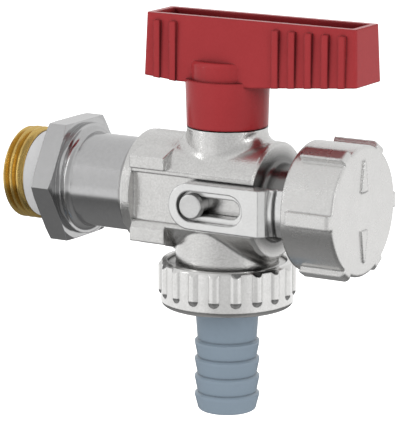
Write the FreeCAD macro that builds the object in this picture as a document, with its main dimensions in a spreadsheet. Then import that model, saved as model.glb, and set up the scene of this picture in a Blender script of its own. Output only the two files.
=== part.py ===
# Drain cock: a boiler fill-and-drain ball valve with lever, captive screw cap and hose tail.
# Millimetres, +Z up along the stem, +X along the pipe away from the wall it screws into.
# The origin is on the pipe axis, at the root of the inlet thread. Pieces are drawn from the
# crossing of the pipe axis and the stem axis, and each is placed that far along X.

import FreeCAD, Part
import math
import os
import Sketcher

Vector = FreeCAD.Vector
doc = FreeCAD.newDocument("DrainCock")
sheet = doc.addObject("Spreadsheet::Sheet", "Sizes")


class Length:
    """A length with its value and the sheet expression that it follows."""

    def __init__(self, value, text):
        self.value = value
        self.text = text

    def __add__(self, other):
        other = length(other)
        return Length(self.value + other.value, f"({self.text} + {other.text})")

    def __sub__(self, other):
        other = length(other)
        return Length(self.value - other.value, f"({self.text} - {other.text})")

    def __mul__(self, factor):
        factor = length(factor)
        return Length(self.value * factor.value, f"({self.text} * {factor.text})")

    def __truediv__(self, divisor):
        divisor = length(divisor)
        return Length(self.value / divisor.value, f"({self.text} / {divisor.text})")

    def __neg__(self):
        return Length(-self.value, f"(0 - {self.text})")

    __radd__ = __add__
    __rmul__ = __mul__


def length(number):
    return number if isinstance(number, Length) else Length(float(number), repr(number))


def leg(hypotenuse, side):
    """The other short side of a right-angled triangle."""
    value = math.sqrt(hypotenuse.value ** 2 - side.value ** 2)
    return Length(value, f"sqrt({hypotenuse.text} ^ 2 - {side.text} ^ 2)")


def size(name, value):
    """Put one driving dimension in the sheet and give back its linked length."""
    row = size.rows = size.rows + 1
    sheet.set(f"A{row}", name)
    sheet.set(f"B{row}", str(value))
    sheet.setAlias(f"B{row}", name)
    return Length(float(value), f"Sizes.{name}")


size.rows = 0
tolerance = 0.05
whole_turn = 360
quarter_turn = 90
hexagon_sides = 6
edge_samples = 5

# How a sketch numbers the points of its own curves, and its origin and axes
curve_start = 1
curve_end = 2
curve_centre = 3
origin_point = -1
across_axis = -1
up_axis = -2

# Clearances
running_gap = size("running_gap", 0.05)
seat_gap = size("seat_gap", 0.1)
slack = size("slack", 0.3)

# Valve body: the run along X
root_to_crossing = size("root_to_crossing", 48.0)
barrel_radius = size("barrel_radius", 13.0)
barrel_reach = size("barrel_reach", 12.9)
barrel_bevel = size("barrel_bevel", 0.6)
boss_radius = barrel_radius - size("boss_step", 0.15)
boss_reach = size("boss_reach", 21.4)
boss_bevel = size("boss_bevel", 1.5)
wrench_start = size("wrench_start", 17.8)
wrench_end = size("wrench_end", 9.2)
wrench_half_flats = barrel_radius - size("wrench_flat_step", 0.9)
wrench_upper_rise = size("wrench_upper_rise", 9.1)
wrench_lower_rise = size("wrench_lower_rise", 10.0)
wrench_ridge = barrel_radius + size("wrench_ridge_rise", 0.2)
channel_half_height = size("channel_half_height", 5.4)
channel_floor = barrel_radius - size("channel_depth", 2.6)
ledge_depth = size("ledge_depth", 0.9)
ledge_height = size("ledge_height", 1.0)
channel_bevel_depth = size("channel_bevel_depth", 1.1)
channel_bevel_height = size("channel_bevel_height", 1.7)
neck_radius = size("neck_radius", 8.33)
neck_reach = size("neck_reach", 23.0)
neck_root = (channel_floor - neck_radius) / 2
neck_chamfer = size("neck_chamfer", 0.8)

# Valve body: stem housing above, hose branch below
housing_radius = barrel_radius - size("housing_step", 4.0)
housing_top = barrel_radius + size("housing_rise", 2.5)
housing_blend = size("housing_blend", 2.4)
branch_radius = barrel_radius - size("branch_step", 1.6)
branch_blend = size("branch_blend", 1.6)
spigot_radius = barrel_radius + size("spigot_step", 0.22)
spigot_top = barrel_radius + size("spigot_drop", 2.2)

# Ball, seats and stem
ball_radius = size("ball_radius", 7.6)
ball_bore = size("ball_bore", 4.75)
seat_reach = size("seat_reach", 9.6)
seat_lip = size("seat_lip", 4.6)
stem_radius = size("stem_radius", 3.5)
stem_collar_radius = size("stem_collar_radius", 4.9)
stem_collar_height = size("stem_collar_height", 1.7)
stem_square = size("stem_square", 4.8)
stem_square_length = size("stem_square_length", 8.9)
stem_screw_room = size("stem_screw_room", 0.5)
square_start = housing_top + size("stem_stand", 5.0)
tang_width = size("tang_width", 2.4)
tang_depth = size("tang_depth", 1.6)
washer_height = size("washer_height", 0.8)
ring_section = size("ring_section", 1.2)
ring_land = size("ring_land", 1.3)
ring_spacing = size("ring_spacing", 2.1)

# Inlet end
thread_radius = size("thread_radius", 10.4775)
thread_length = size("thread_length", 4.9)
thread_chamfer = size("thread_chamfer", 0.3)
undercut_radius = size("undercut_radius", 8.6)
seal_radius = size("seal_radius", 9.9)
seal_round = size("seal_round", 0.8)
hex_face = size("hex_face", 42.1)
hex_width = size("hex_width", 5.0)
hex_corner_radius = size("hex_corner_radius", 15.3)
hex_chamfer_rise = size("hex_chamfer_rise", 1.3)
hex_chamfer_width = size("hex_chamfer_width", 0.4)
collar_radius = size("collar_radius", 12.5)
collar_width = size("collar_width", 1.2)
collar_blend = size("collar_blend", 1.4)
sleeve_radius = size("sleeve_radius", 10.55)
screwed_radius = size("screwed_radius", 9.0)
nipple_spigot_radius = size("nipple_spigot_radius", 8.0)
nipple_spigot_length = size("nipple_spigot_length", 8.5)
inlet_bore = size("inlet_bore", 6.0)
tail_groove_start = size("tail_groove_start", 20.6)

# Lever, with its heights measured from the top of the stem housing
lever_neck_radius = housing_radius
lever_neck_flare = size("lever_neck_flare", 0.3)
lever_neck_top = housing_top + size("lever_neck_height", 10.7)
lever_neck_wall = size("lever_neck_wall", 2.0)
hub_radius = lever_neck_radius - size("hub_step", 0.8)
hub_top = housing_top + size("hub_height", 14.8)
hub_round = size("hub_round", 1.0)
bar_back = size("bar_back", 18.0)
bar_front = size("bar_front", 34.8)
bar_bottom = housing_top + size("bar_stand", 9.9)
bar_top = bar_bottom + size("bar_height", 14.55)
bar_half_width = size("bar_half_width", 5.8)
bar_draft = size("bar_draft", 0.5)
bar_front_rise = size("bar_front_rise", 2.2)
bar_back_rise = size("bar_back_rise", 0.75)
bar_corner = size("bar_corner", 0.6)
bar_wall = size("bar_wall", 1.5)
rib_width = size("rib_width", 1.6)
rib_height = size("rib_height", 0.5)
rib_pitch = size("rib_pitch", 4.04)
rib_top_margin = size("rib_top_margin", 1.5)
front_rib_start = size("front_rib_start", 14.4)
rear_rib_start = size("rear_rib_start", 11.2)
front_rib_count = 5
rear_rib_count = 2

# Lever screw
screw_radius = size("screw_radius", 1.6)
screw_length = size("screw_length", 9.0)
screw_head_radius = size("screw_head_radius", 2.9)
screw_head_height = size("screw_head_height", 2.2)
screw_hex_radius = size("screw_hex_radius", 1.7)
screw_hex_depth = size("screw_hex_depth", 1.3)
screw_washer_radius = size("screw_washer_radius", 3.3)
screw_washer_height = size("screw_washer_height", 0.6)

# Strap and its pin, with radii measured out from the strap's back
strap_back = channel_floor + slack
strap_front = strap_back + size("strap_thickness", 4.3)
strap_half_height = channel_half_height - slack
strap_tip = size("strap_tip", 6.1)
strap_end = size("strap_end", 17.4)
strap_chamfer = size("strap_chamfer", 1.2)
pin_offset = size("pin_offset", 0.5)
slot_half_width = size("slot_half_width", 2.1)
slot_travel = size("slot_travel", 9.5)
recess_half_width = size("recess_half_width", 3.4)
recess_depth = size("recess_depth", 1.5)
strap_lip_radius = strap_back + size("strap_lip_rise", 1.3)
strap_shoulder_radius = strap_back + size("strap_shoulder_rise", 2.5)
strap_shoulder_width = size("strap_shoulder_width", 1.2)
strap_groove_radius = strap_back + size("strap_groove_rise", 1.5)
strap_groove_width = size("strap_groove_width", 0.6)
strap_ring_radius = strap_lip_radius + size("strap_ring_rise", 0.9)
strap_ring_hole = neck_radius + size("strap_ring_gap", 0.87)
strap_ring_width = size("strap_ring_width", 1.5)
pin_radius = slot_half_width - size("pin_gap", 0.15)
pin_head_radius = size("pin_head_radius", 2.75)
pin_head_height = size("pin_head_height", 1.6)
pin_head_round = size("pin_head_round", 0.35)
pin_tenon_radius = size("pin_tenon_radius", 1.4)
pin_tenon_length = size("pin_tenon_length", 1.0)

# Cap
cap_rear = size("cap_rear", 21.4)
cap_length = size("cap_length", 12.5)
cap_radius = strap_ring_radius + size("cap_wall", 1.4)
cap_round = size("cap_round", 0.5)
cap_rib_start = size("cap_rib_start", 1.8)
cap_rib_half_width = size("cap_rib_half_width", 1.6)
cap_rib_height = size("cap_rib_height", 1.3)
cap_rib_round = size("cap_rib_round", 1.2)
cap_top_thickness = size("cap_top_thickness", 1.7)
cap_gasket_height = size("cap_gasket_height", 1.5)
cap_bar_inner = size("cap_bar_inner", 4.2)
cap_bar_outer = size("cap_bar_outer", 11.2)
cap_bar_inner_half = size("cap_bar_inner_half", 1.4)
cap_bar_outer_half = size("cap_bar_outer_half", 0.3)
cap_bar_height = size("cap_bar_height", 0.35)
cap_rib_count = 6
circlip_start = size("circlip_start", 0.4)
circlip_width = size("circlip_width", 0.7)
circlip_hole = strap_lip_radius + size("circlip_gap", 0.25)
circlip_radius = strap_ring_radius + size("circlip_bite", 0.5)
circlip_half_gap = size("circlip_half_gap", 3.0)

# Union nut and hose tail
nut_bore = spigot_radius + seat_gap
nut_radius = nut_bore + size("nut_wall", 1.43)
nut_top = spigot_top - size("nut_overlap", 0.75)
nut_bottom = nut_top + size("nut_height", 10.1)
nut_flange = size("nut_flange", 2.4)
nut_chamfer_width = size("nut_chamfer_width", 0.9)
nut_chamfer_height = size("nut_chamfer_height", 1.05)
nut_bottom_round = size("nut_bottom_round", 1.2)
nut_rib_radius = size("nut_rib_radius", 1.5)
nut_rib_height = size("nut_rib_height", 0.55)
nut_rib_length = size("nut_rib_length", 8.05)
nut_rib_count = 19
nut_turn = 4.7
hose_collar_radius = nut_bore - size("hose_collar_gap", 0.72)
hose_collar_height = size("hose_collar_height", 1.7)
hose_gasket_height = size("hose_gasket_height", 1.65)
hose_neck_radius = size("hose_neck_radius", 7.4)
hose_bore = size("hose_bore", 4.75)
barb_radius = size("barb_radius", 7.2)
barb_root_radius = size("barb_root_radius", 6.6)
barb_first = nut_bottom + size("hose_neck_length", 8.25)
barb_pitch = size("barb_pitch", 4.03)
barb_land = size("barb_land", 0.5)
barb_back = size("barb_back", 0.5)
barb_count = 4
hose_end = nut_bottom + size("hose_reach", 24.2)
hose_end_round = size("hose_end_round", 1.0)

# Sizes that follow from the others
zero = length(0)
chamber_radius = ball_radius + slack
seat_sphere = ball_radius + seat_gap
screwed_end = seat_reach + slack
stem_collar_bottom = ball_radius + slack
stem_collar_top = stem_collar_bottom + stem_collar_height
stem_top = square_start + stem_square_length
tang_bottom = ball_radius - tang_depth
washer_top = stem_collar_top + washer_height
lower_ring_height = washer_top + ring_land
upper_ring_height = lower_ring_height + ring_spacing
ring_groove = ring_section + seat_gap * 2
lever_bottom = housing_top + slack
lever_seat = square_start + seat_gap
lever_floor = stem_top + stem_screw_room
screw_head_base = lever_floor + screw_washer_height
inlet_end = root_to_crossing + thread_length
hex_end = hex_face - hex_width
pin_head_base = strap_front - recess_depth + seat_gap * 2
slot_start = -pin_offset - seat_gap
circlip_rear = cap_rear + circlip_start
cap_ring_seat = circlip_rear + circlip_width + seat_gap
cap_well = cap_ring_seat + strap_ring_width + seat_gap
cap_well_radius = strap_ring_radius + seat_gap * 2
cap_face = cap_rear + cap_length
cap_inside = cap_face - cap_top_thickness
hose_collar_bottom = nut_bottom - nut_flange
hose_collar_top = hose_collar_bottom - hose_collar_height
spigot_end = hose_collar_top - hose_gasket_height


def new_body(label, along=root_to_crossing, turn=FreeCAD.Rotation()):
    body = doc.addObject("PartDesign::Body", label)
    body.Label = label
    body.Placement = FreeCAD.Placement(Vector(along.value, 0, 0), turn)
    body.setExpression("Placement.Base.x", along.text)
    return body


def plane_of(body, role):
    return next(item for item in body.Origin.OriginFeatures if item.Role == role)


def rounded(corners):
    """Swap each right-angled corner that has a radius for the two ends of its arc."""
    result = []
    count = len(corners)
    for index, corner in enumerate(corners):
        if len(corner) != 3:
            result.append(corner)
            continue
        across, up, radius = corner
        before = corners[index - 1]
        after = corners[(index + 1) % count]
        ends = []
        for beside in (before, after):
            step_across = length(beside[0]).value - length(across).value
            step_up = length(beside[1]).value - length(up).value
            if abs(step_across) > abs(step_up):
                ends.append((length(across) + radius * math.copysign(1, step_across), up))
            else:
                ends.append((across, length(up) + radius * math.copysign(1, step_up)))
        first = Vector(length(before[0]).value, length(before[1]).value, 0)
        middle = Vector(length(across).value, length(up).value, 0)
        last = Vector(length(after[0]).value, length(after[1]).value, 0)
        turn = (middle - first).cross(last - middle).z
        result.append((ends[0][0], ends[0][1], radius, -math.copysign(1, turn)))
        result.append(ends[1])
    return result


def new_sketch(body, role, lift=zero, shift=zero):
    sketch = body.newObject("Sketcher::SketchObject", body.Name + "Sketch")
    sketch.AttachmentSupport = [(plane_of(body, role), "")]
    sketch.MapMode = "FlatFace"
    sketch.setExpression("AttachmentOffset.Base.z", lift.text)
    sketch.setExpression("AttachmentOffset.Base.x", shift.text)
    return sketch


def outline(body, role, corners, lift=zero, shift=zero):
    """A closed sketch on one of the body's own planes.

    A corner is (across, up), (across, up, radius) for a rounded right angle, or
    (across, up, radius, side) where an arc runs to the next corner and bulges to its left (+1)
    or right (-1).
    """
    sketch = new_sketch(body, role, lift, shift)
    corners = rounded(corners)
    places = [(length(corner[0]), length(corner[1])) for corner in corners]
    points = [Vector(across.value, up.value, 0) for across, up in places]
    count = len(points)
    starts = []
    for index, start in enumerate(points):
        end = points[(index + 1) % count]
        curve = Part.LineSegment(start, end)
        if len(corners[index]) == 4:
            radius, side = corners[index][2:]
            chord = end - start
            left = Vector(-chord.y, chord.x, 0).normalize()
            rise = math.sqrt(max(length(radius).value ** 2 - (chord.Length / 2) ** 2, 0))
            middle = (start + end) / 2 + left * side * (length(radius).value - rise)
            circle = Part.Arc(start, middle, end).toShape().Curve
            centre = circle.Center
            angles = [math.atan2((p - centre).y, (p - centre).x) for p in (start, end)]
            if side > 0:
                angles.reverse()
            upright = Part.Circle(centre, Vector(0, 0, 1), length(radius).value)
            curve = Part.ArcOfCircle(upright, angles[0], angles[1])
            starts.append(curve_end if side > 0 else curve_start)
        else:
            starts.append(curve_start)
        sketch.addGeometry(curve, False)
    for index in range(count):
        after = (index + 1) % count
        far_end = curve_start + curve_end - starts[index]
        sketch.addConstraint(
            Sketcher.Constraint("Coincident", index, far_end, after, starts[after])
        )
    for index, (across, up) in enumerate(places):
        pin_point(sketch, index, starts[index], across, up)
        if len(corners[index]) == 4:
            radius = length(corners[index][2])
            number = sketch.addConstraint(Sketcher.Constraint("Radius", index, radius.value))
            sketch.setExpression(f"Constraints[{number}]", radius.text)
    doc.recompute()
    return sketch


def turn_about(body, sketch, axis, cut=False):
    """Turn a sketch about its own H_Axis (along the pipe) or V_Axis (along the stem)."""
    kind = "PartDesign::Groove" if cut else "PartDesign::Revolution"
    before = body.Shape.Volume if cut else 0
    feature = body.newObject(kind, body.Name + "Turned")
    feature.Profile = sketch
    feature.ReferenceAxis = (sketch, [axis])
    feature.Angle = whole_turn
    doc.recompute()
    if cut and not body.Shape.Volume < before:
        raise RuntimeError(f"{body.Label}: a turned cut removes nothing")
    return feature


def spin(body, corners, axis, cut=False):
    """Turn an outline about the pipe axis or the stem axis."""
    return turn_about(body, outline(body, "XZ_Plane", corners), axis, cut)


def block(body, role, corners, height, lift=zero, cut=False, reverse=False):
    """Pad or pocket an outline from one of the body's planes, lifted along its normal."""
    sketch = outline(body, role, corners, lift)
    return extrude(body, sketch, height, cut, reverse)


def extrude(body, sketch, height, cut=False, reverse=False):
    kind = "PartDesign::Pocket" if cut else "PartDesign::Pad"
    before = body.Shape.Volume if cut else 0
    feature = body.newObject(kind, body.Name + "Block")
    feature.Profile = sketch
    feature.Length = height.value
    feature.setExpression("Length", height.text)
    feature.Reversed = reverse
    doc.recompute()
    if cut and not body.Shape.Volume < before:
        raise RuntimeError(f"{body.Label}: a pocket removes nothing")
    return feature


def around(body, feature, count, axis_role):
    """Repeat a feature evenly round one of the body's own axes."""
    pattern = body.newObject("PartDesign::PolarPattern", body.Name + "Round")
    pattern.Originals = [feature]
    pattern.Axis = (plane_of(body, axis_role), [""])
    pattern.Angle = whole_turn
    pattern.Occurrences = count
    body.Tip = pattern
    doc.recompute()
    return pattern


def soften(body, radius, test, kind="PartDesign::Fillet"):
    """Round, or chamfer, the edges of the body that pass the test."""
    base = body.Tip
    names = [f"Edge{number}" for number, edge in enumerate(base.Shape.Edges, 1) if test(edge)]
    if not names:
        raise RuntimeError(f"{body.Label}: no edge to soften")
    feature = body.newObject(kind, body.Name + "Edge")
    feature.Base = (base, names)
    if kind == "PartDesign::Fillet":
        feature.Radius = radius.value
        feature.setExpression("Radius", radius.text)
    else:
        feature.Size = radius.value
        feature.setExpression("Size", radius.text)
    doc.recompute()
    return feature


def near(first, second):
    return abs(first - second) < tolerance


def make_valve_body():
    body = new_body("valve_body")

    # Barrel, longer than it ends up, with the stem housing and hose branch blended into it
    stock = boss_reach + barrel_reach
    spin(body, [(-stock, 0), (-stock, barrel_radius), (stock, barrel_radius), (stock, 0)], "H_Axis")
    spin(body, [(0, 0), (housing_radius, 0), (housing_radius, housing_top), (0, housing_top)], "V_Axis")
    soften(body, housing_blend, lambda edge: meets_barrel(edge, housing_radius, 1))
    spin(body, [(0, 0), (branch_radius, 0), (branch_radius, -spigot_top), (0, -spigot_top)], "V_Axis")
    soften(body, branch_blend, lambda edge: meets_barrel(edge, branch_radius, -1))

    # Both ends cut to length: the left one leaves the branch's blend, the right one is bevelled
    blend_end = branch_radius + branch_blend + slack
    block(body, "XZ_Plane", [
        (-stock, stock),
        (-wrench_end, stock),
        (-wrench_end, -wrench_upper_rise),
        (-blend_end, -wrench_upper_rise),
        (-blend_end, -stock),
        (-stock, -stock),
    ], stock * 2, stock, cut=True)
    spin(body, [
        (barrel_reach, 0),
        (barrel_reach, barrel_radius - barrel_bevel),
        (barrel_reach - barrel_bevel, barrel_radius),
        (barrel_reach - barrel_bevel, stock),
        (stock, stock),
        (stock, 0),
    ], "H_Axis", cut=True)

    # Round left boss
    spin(body, [
        (-boss_reach, 0),
        (-boss_reach, boss_radius - boss_bevel),
        (boss_bevel - boss_reach, boss_radius),
        (-wrench_end, boss_radius),
        (-wrench_end, 0),
    ], "H_Axis")

    # Wrench section
    block(body, "YZ_Plane", [
        (-wrench_half_flats, -wrench_lower_rise),
        (0, -wrench_ridge),
        (wrench_half_flats, -wrench_lower_rise),
        (wrench_half_flats, wrench_upper_rise),
        (0, wrench_ridge),
        (-wrench_half_flats, wrench_upper_rise),
    ], wrench_start - wrench_end, -wrench_start)

    # Channel for the strap along the front, from the boss on, with a ledge above and a bevel below
    ledge = channel_half_height + ledge_height
    bevel_end = channel_half_height + channel_bevel_height
    block(body, "YZ_Plane", [
        (-channel_floor, -channel_half_height),
        (-channel_floor, channel_half_height),
        (ledge_depth - wrench_half_flats, channel_half_height),
        (ledge_depth - wrench_half_flats, ledge),
        (-strap_front, ledge),
        (-strap_front, -bevel_end),
        (-wrench_half_flats, -bevel_end),
        (channel_bevel_depth - wrench_half_flats, -channel_half_height),
    ], wrench_start + neck_reach, -wrench_start, cut=True, reverse=True)

    # Cap neck, and the threaded spigot of the hose branch
    spin(body, [
        (0, 0),
        (0, neck_radius + neck_root),
        (barrel_reach, neck_radius + neck_root, neck_root, -1),
        (barrel_reach + neck_root, neck_radius),
        (neck_reach - neck_chamfer, neck_radius),
        (neck_reach, neck_radius - neck_chamfer),
        (neck_reach, 0),
    ], "H_Axis")
    spin(body, [
        (0, -spigot_top),
        (spigot_radius, -spigot_top),
        (spigot_radius, -spigot_end),
        (0, -spigot_end),
    ], "V_Axis")

    # Waterways, stem bore and the pin's hole
    spin(body, [
        (-boss_reach, 0),
        (-boss_reach, screwed_radius + running_gap),
        (-screwed_end, screwed_radius + running_gap),
        (-screwed_end, chamber_radius),
        (seat_reach, chamber_radius),
        (seat_reach, ball_bore),
        (neck_reach, ball_bore),
        (neck_reach, 0),
    ], "H_Axis", cut=True)
    spin(body, [(0, 0), (ball_bore, 0), (ball_bore, -spigot_end), (0, -spigot_end)], "V_Axis", cut=True)
    spin(body, [
        (0, 0),
        (stem_collar_radius + seat_gap, 0),
        (stem_collar_radius + seat_gap, washer_top),
        (stem_radius + running_gap, washer_top),
        (stem_radius + running_gap, housing_top),
        (0, housing_top),
    ], "V_Axis", cut=True)
    hole = disc(body, "XZ_Plane", pin_tenon_radius + running_gap, channel_floor, -pin_offset)
    extrude(body, hole, pin_tenon_length, cut=True)
    return body


def meets_barrel(edge, radius, side):
    """True for the curve where a round branch on the stem axis meets the barrel."""
    points = edge.discretize(edge_samples)
    return all(
        near(math.hypot(p.x, p.y), radius.value)
        and near(math.hypot(p.y, p.z), barrel_radius.value)
        and p.z * side > 0
        for p in points
    )


def disc(body, role, radius, lift=zero, across=zero, up=zero):
    """A circle sketch on one of the body's planes."""
    sketch = new_sketch(body, role, lift)
    centre = Vector(across.value, up.value, 0)
    sketch.addGeometry(Part.Circle(centre, Vector(0, 0, 1), radius.value), False)
    number = sketch.addConstraint(Sketcher.Constraint("Radius", 0, radius.value))
    sketch.setExpression(f"Constraints[{number}]", radius.text)
    pin_point(sketch, 0, curve_centre, across, up)
    doc.recompute()
    return sketch


def pin_point(sketch, geometry, end, across, up):
    """Tie a sketch point's distances from the sketch's origin to the sheet."""
    for kind, distance, axis in (("DistanceX", across, up_axis), ("DistanceY", up, across_axis)):
        if distance.text in ("0", "0.0"):
            sketch.addConstraint(Sketcher.Constraint("PointOnObject", geometry, end, axis))
            continue
        number = sketch.addConstraint(
            Sketcher.Constraint(kind, origin_point, curve_start, geometry, end, distance.value)
        )
        sketch.setExpression(f"Constraints[{number}]", distance.text)


def make_tail_piece():
    body = new_body("tail_piece")
    collar_end = hex_end - collar_width
    spin(body, [
        (-hex_face, 0),
        (-hex_face, collar_radius),
        (-collar_end, collar_radius),
        (-collar_end, sleeve_radius + collar_blend, collar_blend, -1),
        (collar_blend - collar_end, sleeve_radius),
        (-boss_reach, sleeve_radius),
        (-boss_reach, screwed_radius),
        (-screwed_end, screwed_radius),
        (-screwed_end, 0),
    ], "H_Axis")
    block(body, "YZ_Plane", hexagon(hex_corner_radius), hex_width, -hex_face)
    rim = hex_corner_radius + slack
    chamfer_foot = hex_corner_radius - hex_chamfer_rise
    for face, inward in ((-hex_face, hex_chamfer_width), (-hex_end, -hex_chamfer_width)):
        spin(body, [(face, chamfer_foot), (face, rim), (face + inward, rim)], "H_Axis", cut=True)
    groove_end = tail_groove_start - ring_groove
    spin(body, [
        (-tail_groove_start, screwed_radius - ring_section),
        (-tail_groove_start, screwed_radius + slack),
        (-groove_end, screwed_radius + slack),
        (-groove_end, screwed_radius - ring_section),
    ], "H_Axis", cut=True)
    socket_end = hex_face - nipple_spigot_length
    spin(body, [
        (-hex_face, 0),
        (-hex_face, nipple_spigot_radius + running_gap),
        (-socket_end, nipple_spigot_radius + running_gap),
        (-socket_end, inlet_bore),
        (-screwed_end, inlet_bore),
        (-screwed_end, 0),
    ], "H_Axis", cut=True)
    return body


def hexagon(radius):
    """Corners of a hexagon with two corners on the first sketch axis."""
    angles = [math.radians(whole_turn / hexagon_sides * step) for step in range(hexagon_sides)]
    return [(radius * math.cos(angle), radius * math.sin(angle)) for angle in angles]


def make_inlet_nipple():
    body = new_body("inlet_nipple")
    spigot_tip = hex_face - nipple_spigot_length
    spin(body, [
        (-inlet_end, inlet_bore),
        (-inlet_end, thread_radius - thread_chamfer),
        (thread_chamfer - inlet_end, thread_radius),
        (-root_to_crossing, thread_radius),
        (-root_to_crossing, undercut_radius),
        (-hex_face, undercut_radius),
        (-hex_face, nipple_spigot_radius),
        (-spigot_tip, nipple_spigot_radius),
        (-spigot_tip, inlet_bore),
    ], "H_Axis")
    return body


def make_inlet_seal_ring():
    body = new_body("inlet_seal_ring")
    spin(body, [
        (-root_to_crossing, undercut_radius + running_gap),
        (-root_to_crossing, seal_radius, seal_round),
        (-hex_face, seal_radius, seal_round),
        (-hex_face, undercut_radius + running_gap),
    ], "H_Axis")
    return body


def make_pipe_ring(label, along, shaft):
    """A round-section ring in a groove of a shaft on the pipe axis."""
    body = new_body(label)
    middle = shaft - ring_section / 2 + running_gap / 2
    circle = disc(body, "XZ_Plane", ring_section / 2, across=along, up=middle)
    turn_about(body, circle, "H_Axis")
    return body


def make_stem_ring(label, height):
    """A round-section ring in a groove of the stem."""
    body = new_body(label)
    middle = stem_radius - ring_section / 2 + running_gap / 2
    circle = disc(body, "XZ_Plane", ring_section / 2, across=middle, up=height)
    turn_about(body, circle, "V_Axis")
    return body


def make_seat(label, side, reach):
    """A seat ring whose face follows the ball, on the left (-1) or right (+1)."""
    body = new_body(label)
    outer = chamber_radius - running_gap
    spin(body, [
        (reach * side, ball_bore),
        (reach * side, outer),
        (seat_lip * side, outer),
        (seat_lip * side, leg(seat_sphere, seat_lip), seat_sphere, side),
        (leg(seat_sphere, ball_bore) * side, ball_bore),
    ], "H_Axis")
    return body


def make_ball():
    body = new_body("ball")
    clear = ball_radius + slack
    spin(body, [
        (0, -ball_radius, ball_radius, -1),
        (ball_radius, 0, ball_radius, -1),
        (0, ball_radius),
    ], "V_Axis")
    spin(body, [(-clear, 0), (-clear, ball_bore), (clear, ball_bore), (clear, 0)], "H_Axis", cut=True)
    spin(body, [(0, 0), (ball_bore, 0), (ball_bore, -clear), (0, -clear)], "V_Axis", cut=True)
    half = tang_width / 2 + seat_gap
    block(body, "XY_Plane", box_corners(clear, half), clear, tang_bottom - slack, cut=True, reverse=True)
    return body


def box_corners(half_length, half_width):
    return [
        (-half_length, -half_width),
        (half_length, -half_width),
        (half_length, half_width),
        (-half_length, half_width),
    ]


def make_stem():
    body = new_body("stem")
    spin(body, [
        (0, stem_collar_bottom),
        (stem_collar_radius, stem_collar_bottom),
        (stem_collar_radius, stem_collar_top),
        (stem_radius, stem_collar_top),
        (stem_radius, square_start),
        (0, square_start),
    ], "V_Axis")
    for height in (lower_ring_height, upper_ring_height):
        low = height - ring_groove / 2
        high = height + ring_groove / 2
        floor = stem_radius - ring_section
        rim = stem_radius + slack
        spin(body, [(floor, low), (rim, low), (rim, high), (floor, high)], "V_Axis", cut=True)
    half_square = stem_square / 2
    block(body, "XY_Plane", box_corners(half_square, half_square), stem_top - square_start, square_start)
    tang = box_corners(leg(stem_collar_radius, tang_width), tang_width / 2)
    block(body, "XY_Plane", tang, stem_collar_bottom - tang_bottom, tang_bottom)
    hole = screw_radius + running_gap
    hole_end = screw_head_base - screw_length - slack
    spin(body, [(0, hole_end), (hole, hole_end), (hole, stem_top), (0, stem_top)], "V_Axis", cut=True)
    return body


def make_washer(label, bottom, height, hole, radius):
    """A flat ring on the stem axis."""
    body = new_body(label)
    top = bottom + height
    spin(body, [(hole, bottom), (radius, bottom), (radius, top), (hole, top)], "V_Axis")
    return body


def make_handle():
    body = new_body("handle")
    neck_rim = lever_neck_radius + lever_neck_flare
    spin(body, [
        (0, lever_bottom),
        (lever_neck_radius, lever_bottom),
        (neck_rim, lever_neck_top),
        (0, lever_neck_top),
    ], "V_Axis")
    spin(body, [
        (0, bar_bottom),
        (hub_radius, bar_bottom),
        (hub_radius, hub_top, hub_round),
        (0, hub_top),
    ], "V_Axis")

    # Drafted grip bar
    sections = []
    for height, inset in ((bar_bottom, zero), (bar_top, bar_draft)):
        sections.append(outline(body, "XY_Plane", bar_corners(inset, bar_corner), height))
    loft = body.newObject("PartDesign::AdditiveLoft", "handleBar")
    loft.Profile = sections[0]
    loft.Sections = sections[1:]
    loft.Ruled = True
    doc.recompute()

    # Upright grip ribs on both flanks
    starts = [front_rib_start + rib_pitch * step for step in range(front_rib_count)]
    starts += [-rear_rib_start - rib_pitch * step for step in range(rear_rib_count)]
    flank = bar_half_width + rib_height
    high = bar_top - rib_top_margin
    for start in starts:
        end = start + rib_width
        block(body, "XZ_Plane", [
            (start, bar_bottom),
            (end, bar_bottom),
            (end, high),
            (start, high),
        ], flank * 2, flank, reverse=True)

    # The underside rises towards both ends
    through = flank + slack
    for root, end, rise in (
        (neck_rim, bar_front + slack, bar_front_rise),
        (-neck_rim, -bar_back - slack, bar_back_rise),
    ):
        block(body, "XZ_Plane", [
            (root, bar_bottom),
            (end, bar_bottom - slack),
            (end, bar_bottom + rise),
        ], through * 2, through, cut=True)

    # Hollow from above, skirt from below, and the square for the stem
    hollow = bar_corners(bar_draft + bar_wall, bar_corner / 2)
    block(body, "XY_Plane", hollow, bar_top - lever_floor, bar_top, cut=True)
    skirt = lever_neck_radius - lever_neck_wall
    spin(body, [
        (0, lever_bottom),
        (skirt, lever_bottom),
        (skirt, lever_seat),
        (0, lever_seat),
    ], "V_Axis", cut=True)
    half_square = stem_square / 2 + running_gap
    square = box_corners(half_square, half_square)
    block(body, "XY_Plane", square, lever_floor - lever_seat, lever_seat, cut=True, reverse=True)
    return body


def bar_corners(inset, corner):
    """The grip bar's outline from above, drawn in from its widest section."""
    back = inset - bar_back
    front = bar_front - inset
    side = bar_half_width - inset
    return [(back, -side, corner), (front, -side, corner), (front, side, corner), (back, side, corner)]


def make_handle_screw():
    body = new_body("handle_screw")
    tip = screw_head_base - screw_length
    top = screw_head_base + screw_head_height
    spin(body, [
        (0, tip),
        (screw_radius, tip),
        (screw_radius, screw_head_base),
        (screw_head_radius, screw_head_base),
        (screw_head_radius, top),
        (0, top),
    ], "V_Axis")
    block(body, "XY_Plane", hexagon(screw_hex_radius), screw_hex_depth, top, cut=True)
    return body


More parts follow.
